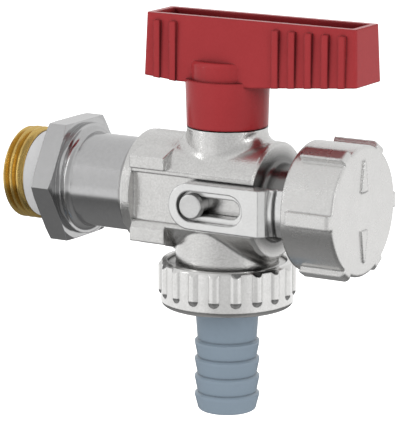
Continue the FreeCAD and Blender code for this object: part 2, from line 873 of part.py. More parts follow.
def make_strap():
    body = new_body("strap")
    tall = strap_half_height
    block(body, "XZ_Plane", [
        (tall - strap_tip, tall, tall, -1),
        (-strap_tip, 0, tall, -1),
        (tall - strap_tip, -tall),
        (strap_end, -tall),
        (strap_end, tall),
    ], strap_front - strap_back, strap_back)
    soften(body, strap_chamfer, is_strap_corner, "PartDesign::Chamfer")
    block(body, "XZ_Plane", slot_corners(recess_half_width), recess_depth, strap_front, cut=True)
    block(body, "XZ_Plane", slot_corners(slot_half_width), strap_front - strap_back, strap_front, cut=True)

    # Curved end with a shoulder, a groove and a collar, a lip that reaches under the cap's rim,
    # and the ring that the cap turns on
    ring_end = cap_ring_seat + strap_ring_width
    groove_start = strap_end + strap_shoulder_width
    groove_end = groove_start + strap_groove_width
    for start, end, radius in (
        (strap_end, groove_start, strap_shoulder_radius),
        (groove_start, groove_end, strap_groove_radius),
        (groove_end, cap_rear - slack, strap_ring_radius),
        (cap_rear - slack, ring_end, strap_lip_radius),
    ):
        edge = leg(radius, tall)
        block(body, "YZ_Plane", [
            (-strap_back, -tall),
            (-edge, -tall, radius, 1),
            (-edge, tall),
            (-strap_back, tall),
        ], end - start, start)
    spin(body, [
        (cap_ring_seat, strap_ring_hole),
        (cap_ring_seat, strap_ring_radius),
        (ring_end, strap_ring_radius),
        (ring_end, strap_ring_hole),
    ], "H_Axis")
    return body


def is_strap_corner(edge):
    """True for the strap's upright front edge at its right end."""
    box = edge.BoundBox
    return near(box.XMin, strap_end.value) and near(box.YMax, -strap_front.value) and near(box.XLength, 0)


def slot_corners(half):
    """The strap's slot, round at both ends."""
    end = slot_start + slot_travel
    return [
        (slot_start, half, half, -1),
        (slot_start - half, 0, half, -1),
        (slot_start, -half),
        (end, -half, half, -1),
        (end + half, 0, half, -1),
        (end, half),
    ]


def make_strap_pin():
    """Turned upright, then laid along -Y in the channel's floor."""
    lay = FreeCAD.Rotation(Vector(1, 0, 0), quarter_turn)
    body = new_body("strap_pin", root_to_crossing - pin_offset, lay)
    tip = pin_head_base + pin_head_height
    spin(body, [
        (0, channel_floor - pin_tenon_length),
        (pin_tenon_radius, channel_floor - pin_tenon_length),
        (pin_tenon_radius, channel_floor),
        (pin_radius, channel_floor),
        (pin_radius, pin_head_base),
        (pin_head_radius, pin_head_base),
        (pin_head_radius, tip, pin_head_round),
        (0, tip),
    ], "V_Axis")
    return body


def make_cap():
    body = new_body("cap")
    bore = neck_radius + seat_gap
    groove = circlip_radius + running_gap
    groove_end = circlip_rear + circlip_width + running_gap
    spin(body, [
        (cap_rear, cap_well_radius),
        (cap_rear, cap_radius),
        (cap_face, cap_radius, cap_round),
        (cap_face, 0),
        (cap_inside, 0),
        (cap_inside, bore),
        (cap_well, bore),
        (cap_well, cap_well_radius),
        (groove_end, cap_well_radius),
        (groove_end, groove),
        (circlip_rear - running_gap, groove),
        (circlip_rear - running_gap, cap_well_radius),
    ], "H_Axis")
    crest = cap_radius + cap_rib_height
    rib_root = (cap_well_radius + cap_radius) / 2
    rib = block(body, "XY_Plane", [
        (cap_rear + cap_rib_start, -rib_root),
        (cap_rear + cap_rib_start, -crest),
        (cap_face - cap_rib_round, -crest, cap_rib_round, -1),
        (cap_face, cap_rib_round - crest),
        (cap_face, cap_round - cap_radius),
        (cap_face - cap_round, cap_round - cap_radius),
        (cap_face - cap_round, -rib_root),
    ], cap_rib_half_width * 2, -cap_rib_half_width)
    around(body, rib, cap_rib_count, "X_Axis")
    for side in (1, -1):
        block(body, "YZ_Plane", [
            (-cap_bar_inner_half, cap_bar_inner * side),
            (cap_bar_inner_half, cap_bar_inner * side),
            (cap_bar_outer_half, cap_bar_outer * side),
            (-cap_bar_outer_half, cap_bar_outer * side),
        ], cap_bar_height + cap_top_thickness / 2, cap_face - cap_top_thickness / 2)
    return body


def make_cap_gasket():
    body = new_body("cap_gasket")
    rear = cap_inside - cap_gasket_height
    radius = neck_radius - slack
    spin(body, [(rear, 0), (rear, radius), (cap_inside, radius), (cap_inside, 0)], "H_Axis")
    return body


def make_cap_circlip():
    body = new_body("cap_circlip")
    end = circlip_rear + circlip_width
    spin(body, [
        (circlip_rear, circlip_hole),
        (circlip_rear, circlip_radius),
        (end, circlip_radius),
        (end, circlip_hole),
    ], "H_Axis")
    block(body, "YZ_Plane", [
        (0, -circlip_half_gap),
        (circlip_radius + slack, -circlip_half_gap),
        (circlip_radius + slack, circlip_half_gap),
        (0, circlip_half_gap),
    ], circlip_width, circlip_rear, cut=True, reverse=True)
    return body


def make_union_nut():
    body = new_body("union_nut", turn=FreeCAD.Rotation(Vector(0, 0, 1), nut_turn))
    spin(body, [
        (0, -nut_top),
        (nut_radius, -nut_top),
        (nut_radius, -nut_bottom, nut_bottom_round),
        (0, -nut_bottom),
    ], "V_Axis")

    # Half-round grip ribs with round lower ends, bevelled together with the top edge
    crest = nut_radius + nut_rib_height
    rib_end = nut_top + nut_rib_length
    rib = outline(body, "XZ_Plane", [
        (0, -nut_top),
        (-nut_rib_radius, -nut_top),
        (-nut_rib_radius, nut_rib_radius - rib_end, nut_rib_radius, -1),
        (0, -rib_end),
    ], shift=crest - nut_rib_radius)
    around(body, turn_about(body, rib, "V_Axis"), nut_rib_count, "Z_Axis")
    rim = crest + slack
    slope = nut_chamfer_height / nut_chamfer_width
    spin(body, [
        (crest - nut_chamfer_width, -nut_top),
        (rim, -nut_top),
        (rim, -nut_top - (nut_chamfer_width + slack) * slope),
    ], "V_Axis", cut=True)

    # Threaded bore above the flange that carries the hose tail
    hole = hose_neck_radius + slack
    spin(body, [
        (0, -nut_top),
        (nut_bore, -nut_top),
        (nut_bore, -hose_collar_bottom),
        (hole, -hose_collar_bottom),
        (hole, -nut_bottom),
        (0, -nut_bottom),
    ], "V_Axis", cut=True)
    return body


def make_hose_tail():
    body = new_body("hose_tail")
    profile = [
        (hose_bore, -hose_collar_top),
        (hose_collar_radius, -hose_collar_top),
        (hose_collar_radius, -hose_collar_bottom),
        (hose_neck_radius, -hose_collar_bottom),
    ]
    for step in range(barb_count):
        crest = barb_first + barb_pitch * step
        profile += [
            (barb_root_radius, barb_back - crest),
            (barb_radius, -crest),
            (barb_radius, -crest - barb_land),
        ]
    profile += [
        (barb_root_radius, hose_end_round - hose_end, hose_end_round, 1),
        (barb_root_radius - hose_end_round, -hose_end),
        (hose_bore, -hose_end),
    ]
    spin(body, profile, "V_Axis")
    return body


stem_hole = stem_radius + running_gap
screw_hole = screw_radius + seat_gap
made = [
    make_valve_body(),
    make_tail_piece(),
    make_inlet_nipple(),
    make_inlet_seal_ring(),
    make_pipe_ring("tail_o_ring", ring_groove / 2 - tail_groove_start, screwed_radius),
    make_seat("seat_inlet", -1, screwed_end),
    make_seat("seat_outlet", 1, seat_reach),
    make_ball(),
    make_stem(),
    make_washer("stem_thrust_washer", stem_collar_top, washer_height, stem_hole, stem_collar_radius),
    make_stem_ring("stem_o_ring_lower", lower_ring_height),
    make_stem_ring("stem_o_ring_upper", upper_ring_height),
    make_handle(),
    make_washer("handle_washer", lever_floor, screw_washer_height, screw_hole, screw_washer_radius),
    make_handle_screw(),
    make_strap(),
    make_strap_pin(),
    make_cap(),
    make_cap_gasket(),
    make_cap_circlip(),
    make_union_nut(),
    make_hose_tail(),
    make_washer("hose_gasket", -hose_collar_top, hose_gasket_height, hose_bore + slack, hose_collar_radius),
]

# Every object is sound before anything is written
doc.recompute()
for item in doc.Objects:
    if "Invalid" in item.State or "Error" in item.State:
        raise RuntimeError(f"{item.Label} failed: {item.State}")
os.makedirs("parts", exist_ok=True)
for item in made:
    if item.Shape.isNull() or not item.Shape.isValid():
        raise RuntimeError(f"{item.Label} has no valid shape")
    item.Shape.exportStep(f"parts/{item.Label}.step")
    print(item.Label, round(item.Shape.Volume, 1))
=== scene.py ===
import bpy
import math
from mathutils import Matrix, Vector


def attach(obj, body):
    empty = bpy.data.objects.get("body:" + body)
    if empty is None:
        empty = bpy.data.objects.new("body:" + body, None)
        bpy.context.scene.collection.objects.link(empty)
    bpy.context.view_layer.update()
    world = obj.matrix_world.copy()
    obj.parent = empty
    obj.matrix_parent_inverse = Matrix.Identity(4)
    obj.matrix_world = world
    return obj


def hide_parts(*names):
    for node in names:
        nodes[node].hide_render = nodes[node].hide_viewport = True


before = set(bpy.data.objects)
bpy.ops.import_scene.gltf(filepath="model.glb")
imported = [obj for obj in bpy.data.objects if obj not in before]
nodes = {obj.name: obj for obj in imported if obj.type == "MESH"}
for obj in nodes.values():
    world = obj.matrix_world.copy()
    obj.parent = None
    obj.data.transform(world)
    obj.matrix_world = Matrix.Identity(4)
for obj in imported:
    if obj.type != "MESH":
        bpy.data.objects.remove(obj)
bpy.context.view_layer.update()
mm = 0.001
mmPerMetre = 1000.0
print("frame loaded:", len(nodes), "nodes")


# helpers for node trees
def feed(tree, socket, value):
    if isinstance(value, bpy.types.NodeSocket):
        tree.links.new(value, socket)
    elif socket.type == "RGBA" and len(value) == 3:
        socket.default_value = (*value, 1)
    else:
        socket.default_value = value


def addNode(tree, kind, settings=None, inputs=None):
    node = tree.nodes.new(kind)
    for key, value in (settings or {}).items():
        setattr(node, key, value)
    for key, value in (inputs or {}).items():
        feed(tree, node.inputs[key], value)
    return node


def mathNode(tree, operation, first, second, clamp=False):
    settings = {"operation": operation, "use_clamp": clamp}
    return addNode(tree, "ShaderNodeMath", settings, {0: first, 1: second}).outputs[0]


def vectorNode(tree, operation, inputs):
    return addNode(tree, "ShaderNodeVectorMath", {"operation": operation}, inputs).outputs


def rangeNode(tree, value, start, end):
    inputs = {"Value": value, "From Min": start, "From Max": end}
    return addNode(tree, "ShaderNodeMapRange", inputs=inputs).outputs["Result"]


def mixColour(tree, mask, first, second, blend="MIX"):
    settings = {"data_type": "RGBA", "blend_type": blend}
    return addNode(tree, "ShaderNodeMix", settings, {0: mask, 6: first, 7: second}).outputs[2]


def addRamp(tree, place, stops):
    ramp = addNode(tree, "ShaderNodeValToRGB", inputs={"Fac": place})
    band = ramp.color_ramp
    while len(band.elements) < len(stops):
        band.elements.new(1.0)
    for element, (position, level) in zip(band.elements, stops):
        element.position = position
        element.color = (level, level, level, 1)
    return ramp.outputs["Color"]


def objectPlace(tree):
    return addNode(tree, "ShaderNodeTexCoord").outputs["Object"]


def newGroup(name, inputs, outputs):
    group = bpy.data.node_groups.new(name, "ShaderNodeTree")
    for label, value in inputs.items():
        socket = group.interface.new_socket(label, in_out="INPUT", socket_type="NodeSocketFloat")
        socket.default_value = value
    for label, kind in outputs.items():
        group.interface.new_socket(label, in_out="OUTPUT", socket_type=kind)
    return group, group.nodes.new("NodeGroupInput").outputs, group.nodes.new("NodeGroupOutput").inputs


def useGroup(tree, group, values):
    node = addNode(tree, "ShaderNodeGroup", {"node_tree": group})
    for key, value in values.items():
        node.inputs[key].default_value = value
    return node.outputs


# effects that several finishes share
grainSettings = {"fineDetail": 3.0, "fineRough": 0.6, "clumpDetail": 4.0, "clumpRough": 0.55, "pitShare": 0.5,
                 "toneRange": (0.32, 0.68), "speckRange": (0.38, 0.62)}


def makeBlastGrain(setting):
    group, source, result = newGroup(
        "blastGrain",
        {"Grain Size": 0.3, "Clump Size": 2.5, "Clump Mix": 0.35},
        {"Height": "NodeSocketFloat", "Tone": "NodeSocketFloat", "Speck": "NodeSocketFloat"})
    place = objectPlace(group)
    fineScale = mathNode(group, "DIVIDE", mmPerMetre, source["Grain Size"])
    clumpScale = mathNode(group, "DIVIDE", mmPerMetre, source["Clump Size"])
    fine = addNode(group, "ShaderNodeTexNoise", inputs={
        "Vector": place, "Scale": fineScale,
        "Detail": setting["fineDetail"], "Roughness": setting["fineRough"]}).outputs["Fac"]
    pits = addNode(group, "ShaderNodeTexVoronoi", {"feature": "SMOOTH_F1"}, {
        "Vector": place, "Scale": fineScale}).outputs["Distance"]
    clump = addNode(group, "ShaderNodeTexNoise", inputs={
        "Vector": place, "Scale": clumpScale,
        "Detail": setting["clumpDetail"], "Roughness": setting["clumpRough"]}).outputs["Fac"]
    bumps = mathNode(group, "ADD", fine, mathNode(group, "MULTIPLY", pits, setting["pitShare"]))
    swell = mathNode(group, "MULTIPLY", clump, source["Clump Mix"])
    feed(group, result["Height"], mathNode(group, "ADD", bumps, swell))
    feed(group, result["Tone"], rangeNode(group, clump, *setting["toneRange"]))
    feed(group, result["Speck"], rangeNode(group, fine, *setting["speckRange"]))
    return group


creviceSettings = {"samples": 8}


# painted shade: an ambient-occlusion mask that darkens creases, recesses and joints where shade falls
def makeCreviceShade(setting):
    group, source, result = newGroup(
        "creviceShade", {"Reach": 1.2, "Open": 0.72, "Shut": 0.2}, {"Mask": "NodeSocketFloat"})
    reach = mathNode(group, "MULTIPLY", source["Reach"], mm)
    settings = {"samples": setting["samples"]}
    closed = addNode(group, "ShaderNodeAmbientOcclusion", settings, {"Distance": reach}).outputs["AO"]
    feed(group, result["Mask"], rangeNode(group, closed, source["Open"], source["Shut"]))
    return group


edgeSettings = {"samples": 6, "bendRange": (0.995, 0.88), "patchDetail": 3.0, "patchRange": (0.25, 0.6)}


# edge mask from the bevel normal, broken up in patches, with the bevel normal passed on; it carries rubbed
# wear together with painted edge highlight and painted edge shade
def makePaintedEdgeLightAndWear(setting):
    group, source, result = newGroup(
        "paintedEdgeLightAndWearGroup",
        {"Radius": 0.3, "Break Up": 1.2},
        {"Mask": "NodeSocketFloat", "Normal": "NodeSocketVector"})
    radius = mathNode(group, "MULTIPLY", source["Radius"], mm)
    bevel = addNode(group, "ShaderNodeBevel", {"samples": setting["samples"]}, {"Radius": radius})
    soft = bevel.outputs["Normal"]
    plain = addNode(group, "ShaderNodeNewGeometry").outputs["Normal"]
    facing = vectorNode(group, "DOT_PRODUCT", {0: soft, 1: plain})["Value"]
    edge = rangeNode(group, facing, *setting["bendRange"])
    scale = mathNode(group, "DIVIDE", mmPerMetre, source["Break Up"])
    patchy = addNode(group, "ShaderNodeTexNoise", inputs={
        "Vector": objectPlace(group), "Scale": scale, "Detail": setting["patchDetail"]}).outputs["Fac"]
    patches = rangeNode(group, patchy, *setting["patchRange"])
    feed(group, result["Mask"], mathNode(group, "MULTIPLY", edge, patches))
    feed(group, result["Normal"], soft)
    return group


markSettings = {"detail": 5.0, "distortion": 0.6, "streakFineness": 14.0, "streakStretch": (0.12, 1.0, 1.0),
                "streakDetail": 2.0}
noiseMiddle = 0.5


def makeHandlingMarks(setting):
    group, source, result = newGroup(
        "handlingMarks", {"Mark Size": 6.0, "Streak": 0.5}, {"Smudge": "NodeSocketFloat"})
    place = objectPlace(group)
    scale = mathNode(group, "DIVIDE", mmPerMetre, source["Mark Size"])
    cloudy = addNode(group, "ShaderNodeTexNoise", inputs={
        "Vector": place, "Scale": scale,
        "Detail": setting["detail"], "Distortion": setting["distortion"]}).outputs["Fac"]
    streakScale = mathNode(group, "MULTIPLY", scale, setting["streakFineness"])
    stretch = addNode(group, "ShaderNodeMapping", inputs={"Vector": place, "Scale": setting["streakStretch"]})
    streaky = addNode(group, "ShaderNodeTexNoise", inputs={
        "Vector": stretch.outputs["Vector"], "Scale": streakScale,
        "Detail": setting["streakDetail"]}).outputs["Fac"]
    part = mathNode(group, "MULTIPLY", mathNode(group, "SUBTRACT", streaky, noiseMiddle), source["Streak"])
    feed(group, result["Smudge"], mathNode(group, "ADD", cloudy, part, clamp=True))
    return group


lineSettings = {"detail": 3.0}


def makeTurnedLines(setting):
    group, source, result = newGroup(
        "turnedLines", {"Pitch": 0.25, "Along X": 1.0, "Along Z": 0.0}, {"Height": "NodeSocketFloat"})
    parts = addNode(group, "ShaderNodeSeparateXYZ", inputs={"Vector": objectPlace(group)}).outputs
    along = mathNode(
        group, "ADD",
        mathNode(group, "MULTIPLY", parts["X"], source["Along X"]),
        mathNode(group, "MULTIPLY", parts["Z"], source["Along Z"]))
    scale = mathNode(group, "DIVIDE", mmPerMetre, source["Pitch"])
    lines = addNode(group, "ShaderNodeTexNoise", {"noise_dimensions": "1D"}, {
        "W": along, "Scale": scale, "Detail": setting["detail"]})
    feed(group, result["Height"], lines.outputs["Fac"])
    return group


blastGrain = makeBlastGrain(grainSettings)
paintedEdgeLightAndWearGroup = makePaintedEdgeLightAndWear(edgeSettings)
handlingMarks = makeHandlingMarks(markSettings)
turnedLines = makeTurnedLines(lineSettings)
creviceShade = makeCreviceShade(creviceSettings)
print("shared effects ready")


def neckShadeMask(tree, look):  # painted shade on the cap neck, fading out over the end face of the barrel
    parts = addNode(tree, "ShaderNodeSeparateXYZ", inputs={"Vector": objectPlace(tree)}).outputs
    flat = addNode(tree, "ShaderNodeCombineXYZ", inputs={"X": parts["Y"], "Y": parts["Z"]})
    away = vectorNode(tree, "LENGTH", {0: flat.outputs["Vector"]})["Value"]
    past = rangeNode(tree, parts["X"], look["neckStart"] * mm, (look["neckStart"] + look["neckFade"]) * mm)
    near = rangeNode(tree, away, look["neckOuter"] * mm, look["neckInner"] * mm)
    return mathNode(tree, "MULTIPLY", past, near)


# what a finish has when its look doesn't say
plainLook = {"specular": 0.5, "creviceOpen": 0.72, "creviceShut": 0.2, "gapOpen": 0.45, "gapShut": 0.2}


def makeFinish(name, ownLook):
    look = {**plainLook, **ownLook}
    material = bpy.data.materials.new(name)
    material.use_nodes = True
    tree = material.node_tree
    shader = tree.nodes["Principled BSDF"].inputs
    shader["Metallic"].default_value = look["metallic"]
    shader["Specular IOR Level"].default_value = look["specular"]
    grain = useGroup(tree, blastGrain, {
        "Grain Size": look["grainSize"], "Clump Size": look["clumpSize"], "Clump Mix": look["clumpMix"]})
    paintedEdgeLightAndWear = useGroup(tree, paintedEdgeLightAndWearGroup, {"Radius": look["edgeRadius"], "Break Up": look["edgeBreak"]})
    marks = useGroup(tree, handlingMarks, {"Mark Size": look["markSize"], "Streak": look["streak"]})
    dark = useGroup(tree, creviceShade, {
        "Reach": look["creviceReach"], "Open": look["creviceOpen"], "Shut": look["creviceShut"]})
    # painted shade in deep gaps, such as between the barrel end and the cap and inside the red lever
    deep = useGroup(tree, creviceShade, {
        "Reach": look["gapReach"], "Open": look["gapOpen"], "Shut": look["gapShut"]})

    body = mixColour(tree, grain["Tone"], look["shade"], look["colour"])
    specks = mathNode(tree, "MULTIPLY", mathNode(tree, "SUBTRACT", 1.0, grain["Speck"]), look["speck"])
    body = mixColour(tree, specks, body, look["shade"], "MULTIPLY")
    # painted shade: the cap neck and the middle of the barrel's end face are darkened towards a dark neck
    # colour
    if "neckShadeColour" in look:
        body = mixColour(tree, neckShadeMask(tree, look), body, look["neckShadeColour"])
    # painted edge light and wear: the edge colour is a painted highlight where it is lighter than the face
    # and a painted shade where it is darker, as on the strap and the red moulding, broken up in patches like
    # rubbed wear
    paintedEdgeLightAndWearMask = mathNode(tree, "MULTIPLY", paintedEdgeLightAndWear["Mask"], look["paintedEdgeLightAndWear"])
    body = mixColour(tree, paintedEdgeLightAndWearMask, body, look["paintedEdgeLightAndWearColour"])
    # painted shade: the crease and deep-gap occlusion masks darken the base colour towards a dark shade
    # colour
    shut = mathNode(tree, "MULTIPLY", dark["Mask"], look["creviceShade"])
    shut = mathNode(tree, "MAXIMUM", shut, mathNode(tree, "MULTIPLY", deep["Mask"], look["gapShade"]))
    feed(tree, shader["Base Color"], mixColour(tree, shut, body, look["creviceShadeColour"]))

    smudge = mathNode(tree, "SUBTRACT", marks["Smudge"], noiseMiddle)
    rough = mathNode(tree, "ADD", mathNode(tree, "MULTIPLY", smudge, look["roughSpread"]), look["roughness"])
    rough = mathNode(tree, "ADD", rough, mathNode(tree, "MULTIPLY", paintedEdgeLightAndWearMask, look["wornRough"]), clamp=True)
    feed(tree, shader["Roughness"], rough)

    height = grain["Height"]
    if "linePitch" in look:
        lines = useGroup(tree, turnedLines, {
            "Pitch": look["linePitch"], "Along X": look["lineX"], "Along Z": 1.0 - look["lineX"]})
        height = mathNode(tree, "ADD", height, mathNode(tree, "MULTIPLY", lines["Height"], look["lineMix"]))
    bump = addNode(tree, "ShaderNodeBump", inputs={
        "Strength": look["bump"], "Distance": look["bumpDepth"] * mm, "Height": height,
        "Normal": paintedEdgeLightAndWear["Normal"]})
    feed(tree, shader["Normal"], bump.outputs["Normal"])
    return material


# sizes in these looks are in millimetres
looks = {
    "blastedNickel": {
        "colour": (0.70, 0.695, 0.685), "shade": (0.665, 0.66, 0.65), "paintedEdgeLightAndWearColour": (0.82, 0.82, 0.815),
        "creviceShadeColour": (0.14, 0.138, 0.135), "creviceShade": 0.9, "creviceReach": 0.9,
        "gapShade": 0.2, "gapReach": 7.0,
        "neckShadeColour": (0.2, 0.198, 0.195), "neckStart": 60.5, "neckFade": 0.3,
        "neckOuter": 12.6, "neckInner": 9.8,
        "metallic": 1.0, "roughness": 0.24, "roughSpread": 0.06, "paintedEdgeLightAndWear": 0.7, "wornRough": -0.08,
        "grainSize": 0.42, "clumpSize": 3.2, "clumpMix": 0.1, "speck": 0.3, "bump": 0.65, "bumpDepth": 0.04,
        "edgeRadius": 0.55, "edgeBreak": 1.6, "markSize": 7.0, "streak": 0.3},
    "nickelCap": {
        "colour": (0.72, 0.715, 0.705), "shade": (0.69, 0.685, 0.675), "paintedEdgeLightAndWearColour": (0.82, 0.82, 0.815),
        "creviceShadeColour": (0.16, 0.158, 0.155), "creviceShade": 0.9, "creviceReach": 0.9,
        "gapShade": 0.7, "gapReach": 6.0,
        "metallic": 1.0, "roughness": 0.27, "roughSpread": 0.06, "paintedEdgeLightAndWear": 0.6, "wornRough": -0.06,
        "grainSize": 0.42, "clumpSize": 3.6, "clumpMix": 0.1, "speck": 0.2, "bump": 0.42, "bumpDepth": 0.035,
        "edgeRadius": 0.8, "edgeBreak": 1.8, "markSize": 8.0, "streak": 0.25},
    "nickelNut": {
        "colour": (0.76, 0.755, 0.745), "shade": (0.70, 0.695, 0.685), "paintedEdgeLightAndWearColour": (0.86, 0.86, 0.85),
        "creviceShadeColour": (0.12, 0.118, 0.115), "creviceShade": 1.0, "creviceReach": 0.8,
        "creviceOpen": 0.95, "creviceShut": 0.55, "gapShade": 0.1, "gapReach": 4.0,
        "metallic": 1.0, "roughness": 0.14, "roughSpread": 0.06, "paintedEdgeLightAndWear": 0.6, "wornRough": -0.04,
        "grainSize": 0.4, "clumpSize": 2.8, "clumpMix": 0.08, "speck": 0.25, "bump": 0.35, "bumpDepth": 0.025,
        "edgeRadius": 0.3, "edgeBreak": 1.4, "markSize": 6.0, "streak": 0.25},
    "polishedChrome": {
        "colour": (0.51, 0.51, 0.512), "shade": (0.49, 0.49, 0.492), "paintedEdgeLightAndWearColour": (0.64, 0.64, 0.642),
        "creviceShadeColour": (0.14, 0.14, 0.142), "creviceShade": 0.85, "creviceReach": 0.9,
        "gapShade": 0.5, "gapReach": 4.0,
        "metallic": 1.0, "roughness": 0.17, "roughSpread": 0.08, "paintedEdgeLightAndWear": 0.5, "wornRough": -0.04,
        "grainSize": 0.8, "clumpSize": 6.0, "clumpMix": 0.2, "speck": 0.08, "bump": 0.06, "bumpDepth": 0.01,
        "edgeRadius": 0.25, "edgeBreak": 2.0, "markSize": 9.0, "streak": 0.6,
        "linePitch": 0.3, "lineX": 1.0, "lineMix": 0.8},
    "brightStrap": {  # its rolled edges are painted darker than its face, a painted dark reflection in the edge bevels
        "colour": (0.76, 0.76, 0.755), "shade": (0.73, 0.73, 0.725), "paintedEdgeLightAndWearColour": (0.30, 0.30, 0.30),
        "creviceShadeColour": (0.15, 0.15, 0.15), "creviceShade": 0.85, "creviceReach": 0.7,
        "gapShade": 0.6, "gapReach": 3.0,
        "metallic": 1.0, "roughness": 0.25, "roughSpread": 0.1, "paintedEdgeLightAndWear": 0.8, "wornRough": -0.06,
        "grainSize": 0.5, "clumpSize": 4.0, "clumpMix": 0.1, "speck": 0.12, "bump": 0.18, "bumpDepth": 0.02,
        "edgeRadius": 0.5, "edgeBreak": 1.4, "markSize": 5.0, "streak": 0.5},
    "satinPin": {
        "colour": (0.68, 0.68, 0.675), "shade": (0.62, 0.62, 0.615), "paintedEdgeLightAndWearColour": (0.8, 0.8, 0.8),
        "creviceShadeColour": (0.14, 0.14, 0.14), "creviceShade": 0.8, "creviceReach": 0.8,
        "gapShade": 0.5, "gapReach": 3.0,
        "metallic": 1.0, "roughness": 0.3, "roughSpread": 0.12, "paintedEdgeLightAndWear": 0.6, "wornRough": -0.08,
        "grainSize": 0.4, "clumpSize": 1.8, "clumpMix": 0.3, "speck": 0.15, "bump": 0.2, "bumpDepth": 0.02,
        "edgeRadius": 0.2, "edgeBreak": 1.0, "markSize": 3.0, "streak": 0.4},
    "turnedBrass": {
        "colour": (0.70, 0.50, 0.175), "shade": (0.62, 0.43, 0.14), "paintedEdgeLightAndWearColour": (0.86, 0.68, 0.34),
        "creviceShadeColour": (0.19, 0.11, 0.03), "creviceShade": 0.75, "creviceReach": 0.9,
        "gapShade": 0.4, "gapReach": 3.0,
        "metallic": 1.0, "roughness": 0.26, "roughSpread": 0.12, "paintedEdgeLightAndWear": 0.5, "wornRough": -0.06,
        "grainSize": 0.5, "clumpSize": 3.0, "clumpMix": 0.3, "speck": 0.12, "bump": 0.12, "bumpDepth": 0.012,
        "edgeRadius": 0.12, "edgeBreak": 1.0, "markSize": 4.0, "streak": 0.5,
        "linePitch": 0.12, "lineX": 1.0, "lineMix": 0.6},
    "whiteSeal": {
        "colour": (0.52, 0.52, 0.525), "shade": (0.49, 0.49, 0.495), "paintedEdgeLightAndWearColour": (0.56, 0.56, 0.56),
        "creviceShadeColour": (0.3, 0.3, 0.305), "creviceShade": 0.6, "creviceReach": 1.0,
        "gapShade": 0.4, "gapReach": 3.0, "specular": 0.3,
        "metallic": 0.0, "roughness": 0.5, "roughSpread": 0.12, "paintedEdgeLightAndWear": 0.3, "wornRough": 0.04,
        "grainSize": 0.6, "clumpSize": 5.0, "clumpMix": 0.3, "speck": 0.06, "bump": 0.1, "bumpDepth": 0.01,
        "edgeRadius": 0.2, "edgeBreak": 2.0, "markSize": 5.0, "streak": 0.2},
    "redMoulding": {  # its rounded edges are matt and painted a little darker, as painted shade
        "colour": (0.315, 0.029, 0.033), "shade": (0.30, 0.027, 0.031), "paintedEdgeLightAndWearColour": (0.28, 0.022, 0.025),
        "creviceShadeColour": (0.05, 0.003, 0.004), "creviceShade": 0.9, "creviceReach": 1.2,
        "gapShade": 1.0, "gapReach": 14.0, "gapOpen": 0.68, "gapShut": 0.36, "specular": 0.15,
        "metallic": 0.0, "roughness": 0.18, "roughSpread": 0.06, "paintedEdgeLightAndWear": 0.6, "wornRough": 0.8,
        "grainSize": 0.5, "clumpSize": 7.0, "clumpMix": 0.25, "speck": 0.06, "bump": 0.08, "bumpDepth": 0.012,
        "edgeRadius": 0.7, "edgeBreak": 2.0, "markSize": 9.0, "streak": 0.3},
    "greyMoulding": {
        "colour": (0.215, 0.27, 0.325), "shade": (0.208, 0.262, 0.315), "paintedEdgeLightAndWearColour": (0.29, 0.35, 0.405),
        "creviceShadeColour": (0.05, 0.065, 0.08), "creviceShade": 1.0, "creviceReach": 0.6,
        "creviceOpen": 0.95, "creviceShut": 0.65, "gapShade": 0.3, "gapReach": 3.0, "specular": 0.4,
        "metallic": 0.0, "roughness": 0.24, "roughSpread": 0.06, "paintedEdgeLightAndWear": 0.5, "wornRough": -0.02,
        "grainSize": 0.5, "clumpSize": 5.0, "clumpMix": 0.1, "speck": 0.02, "bump": 0.03, "bumpDepth": 0.01,
        "edgeRadius": 0.12, "edgeBreak": 2.0, "markSize": 6.0, "streak": 0.3},
    "platedSteel": {
        "colour": (0.58, 0.58, 0.57), "shade": (0.5, 0.5, 0.5), "paintedEdgeLightAndWearColour": (0.7, 0.7, 0.7),
        "creviceShadeColour": (0.12, 0.12, 0.12), "creviceShade": 0.7, "creviceReach": 0.6,
        "gapShade": 0.4, "gapReach": 3.0,
        "metallic": 1.0, "roughness": 0.32, "roughSpread": 0.14, "paintedEdgeLightAndWear": 0.6, "wornRough": -0.06,
        "grainSize": 0.4, "clumpSize": 2.0, "clumpMix": 0.3, "speck": 0.15, "bump": 0.15, "bumpDepth": 0.01,
        "edgeRadius": 0.12, "edgeBreak": 0.8, "markSize": 3.0, "streak": 0.5},
    "polishedBall": {
        "colour": (0.72, 0.72, 0.725), "shade": (0.68, 0.68, 0.685), "paintedEdgeLightAndWearColour": (0.8, 0.8, 0.8),
        "creviceShadeColour": (0.2, 0.2, 0.2), "creviceShade": 0.5, "creviceReach": 0.6,
        "gapShade": 0.3, "gapReach": 3.0,
        "metallic": 1.0, "roughness": 0.08, "roughSpread": 0.05, "paintedEdgeLightAndWear": 0.4, "wornRough": 0.04,
        "grainSize": 0.8, "clumpSize": 4.0, "clumpMix": 0.2, "speck": 0.04, "bump": 0.04, "bumpDepth": 0.01,
        "edgeRadius": 0.15, "edgeBreak": 1.2, "markSize": 4.0, "streak": 0.4},
    "blackRubber": {
        "colour": (0.035, 0.035, 0.036), "shade": (0.022, 0.022, 0.023), "paintedEdgeLightAndWearColour": (0.07, 0.07, 0.07),
        "creviceShadeColour": (0.01, 0.01, 0.01), "creviceShade": 0.6, "creviceReach": 0.6,
        "gapShade": 0.4, "gapReach": 3.0,
        "metallic": 0.0, "roughness": 0.6, "roughSpread": 0.16, "paintedEdgeLightAndWear": 0.4, "wornRough": 0.06,
        "grainSize": 0.3, "clumpSize": 2.0, "clumpMix": 0.3, "speck": 0.2, "bump": 0.2, "bumpDepth": 0.012,
        "edgeRadius": 0.12, "edgeBreak": 1.0, "markSize": 3.0, "streak": 0.2},
}
finishes = {name: makeFinish(name, look) for name, look in looks.items()}
print("finishes ready:", len(finishes))

